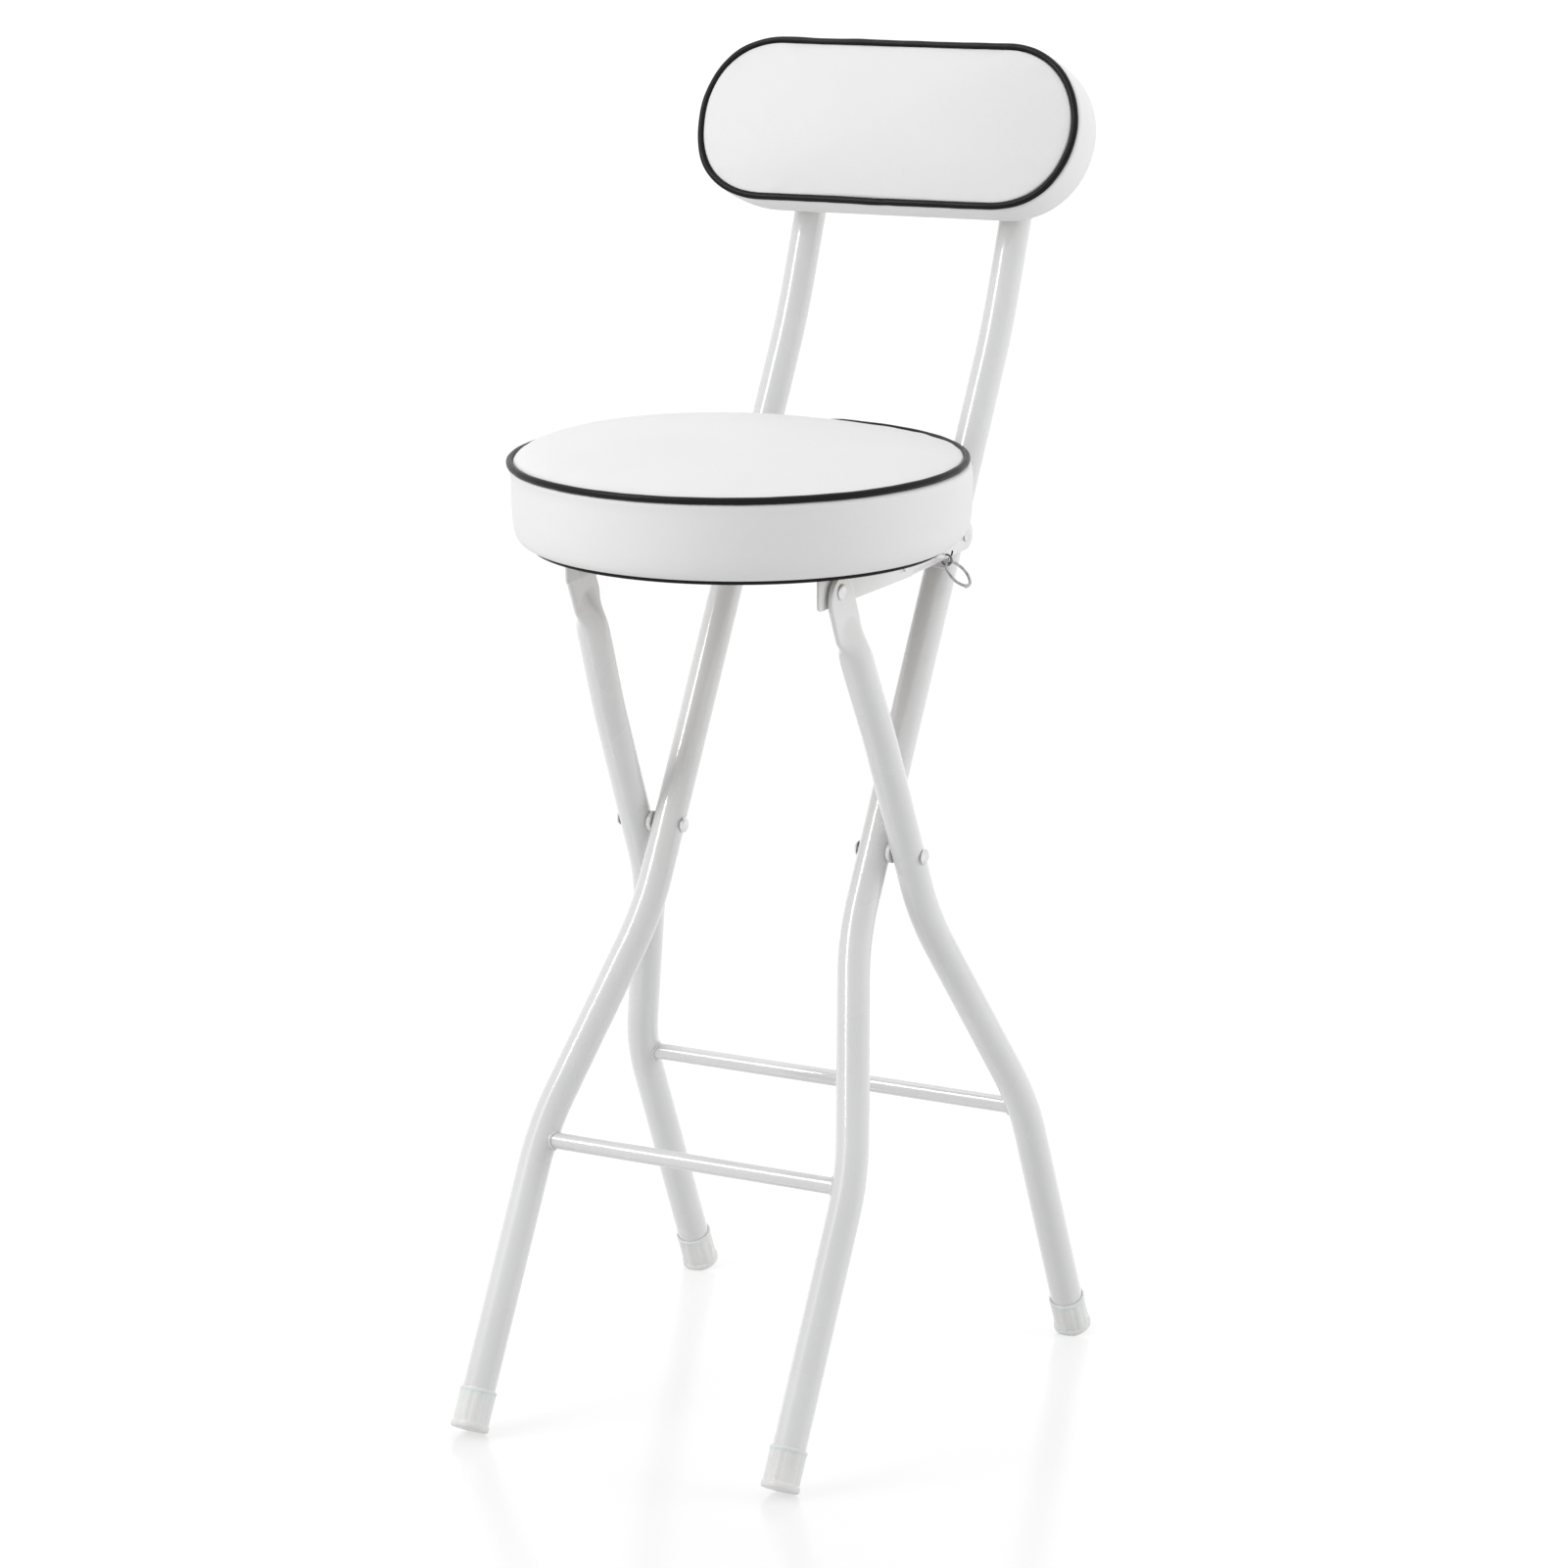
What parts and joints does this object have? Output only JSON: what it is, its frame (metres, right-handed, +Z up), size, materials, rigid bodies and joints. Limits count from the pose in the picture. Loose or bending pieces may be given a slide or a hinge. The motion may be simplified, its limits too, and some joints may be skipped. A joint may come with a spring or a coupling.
{
  "type": "folding bar stool",
  "caption": "Folding bar stool with crossing tube legs, round padded seat on rails, over-centre fold links and an obround padded backrest.",
  "frame": {"origin": "middle of the footprint on the floor", "axes": "+X to the right for someone who faces the front, +Y to the rear, +Z up"},
  "size_m": [0.3684, 0.53, 1.0157],
  "materials": {
    "paint": "gloss white",
    "vinyl": "smooth white vinyl",
    "piping": "smooth black vinyl",
    "foot_plastic": "pale moulded plastic",
    "fastener": "bright plated",
    "dark_wire": "dark plated",
    "board": "bare board"
  },
  "bodies": {
    "long_frame": {"back_tube_right": "paint", "back_tube_left": "paint", "front_crossbar": "paint", "front_foot_right": "foot_plastic", "front_foot_left": "foot_plastic", "tube_plug_right": "foot_plastic", "tube_plug_left": "foot_plastic", "backrest_pad": "vinyl", "backrest_piping": "piping", "backrest_board": "board", "backrest_screw_1": "fastener", "backrest_screw_2": "fastener", "backrest_screw_3": "fastener", "backrest_screw_4": "fastener", "scissor_spacer_right": "foot_plastic", "scissor_spacer_left": "foot_plastic", "scissor_rivet_right": "fastener", "scissor_rivet_left": "fastener", "link_rivet_right": "fastener", "link_rivet_left": "fastener"},
    "short_frame": {"short_tube_right": "paint", "short_tube_left": "paint", "rear_crossbar": "paint", "rear_foot_right": "foot_plastic", "rear_foot_left": "foot_plastic", "seat_rivet_right": "fastener", "seat_rivet_left": "fastener", "seat_washer_right": "foot_plastic", "seat_washer_left": "foot_plastic"},
    "fold_links": {"fold_link_right": "paint", "fold_link_left": "paint", "ring_eye": "dark_wire"},
    "seat": {"seat_pad": "vinyl", "seat_piping": "piping", "seat_edge_trim": "piping", "seat_board": "board", "seat_rail_right": "paint", "seat_rail_left": "paint", "rail_stub_right": "fastener", "rail_stub_left": "fastener", "rail_screw_1_right": "fastener", "rail_screw_1_left": "fastener", "rail_screw_2_right": "fastener", "rail_screw_2_left": "fastener", "rail_screw_3_right": "fastener", "rail_screw_3_left": "fastener", "link_pin_right": "fastener", "link_pin_left": "fastener"},
    "pull_ring": {"pull_ring": "dark_wire"}
  },
  "joints": [
    {"name": "scissor_fold", "type": "hinge", "parent": "long_frame", "child": "short_frame", "pos_m": [0, -0.01777, 0.4301], "axis": [-1, 0, 0], "range_deg": [0, 43.5]},
    {"name": "link_fold", "type": "hinge", "parent": "long_frame", "child": "fold_links", "pos_m": [0, 0.10511, 0.6521], "axis": [-1, 0, 0], "range_deg": [0, 100.1]},
    {"name": "seat_flip", "type": "hinge", "parent": "fold_links", "child": "seat", "pos_m": [0, -0.00155, 0.648], "axis": [1, 0, 0], "range_deg": [0, 160.3]},
    {"name": "ring_swing", "type": "hinge", "parent": "fold_links", "child": "pull_ring", "pos_m": [0.10444, 0.06995, 0.63914], "axis": [0, -1, 0], "range_deg": [-10, 40]}
  ],
  "couplings": [
    {"joint": "link_fold", "follows": "scissor_fold", "ratio": 2.2994},
    {"joint": "seat_flip", "follows": "scissor_fold", "ratio": 3.6838}
  ]
}
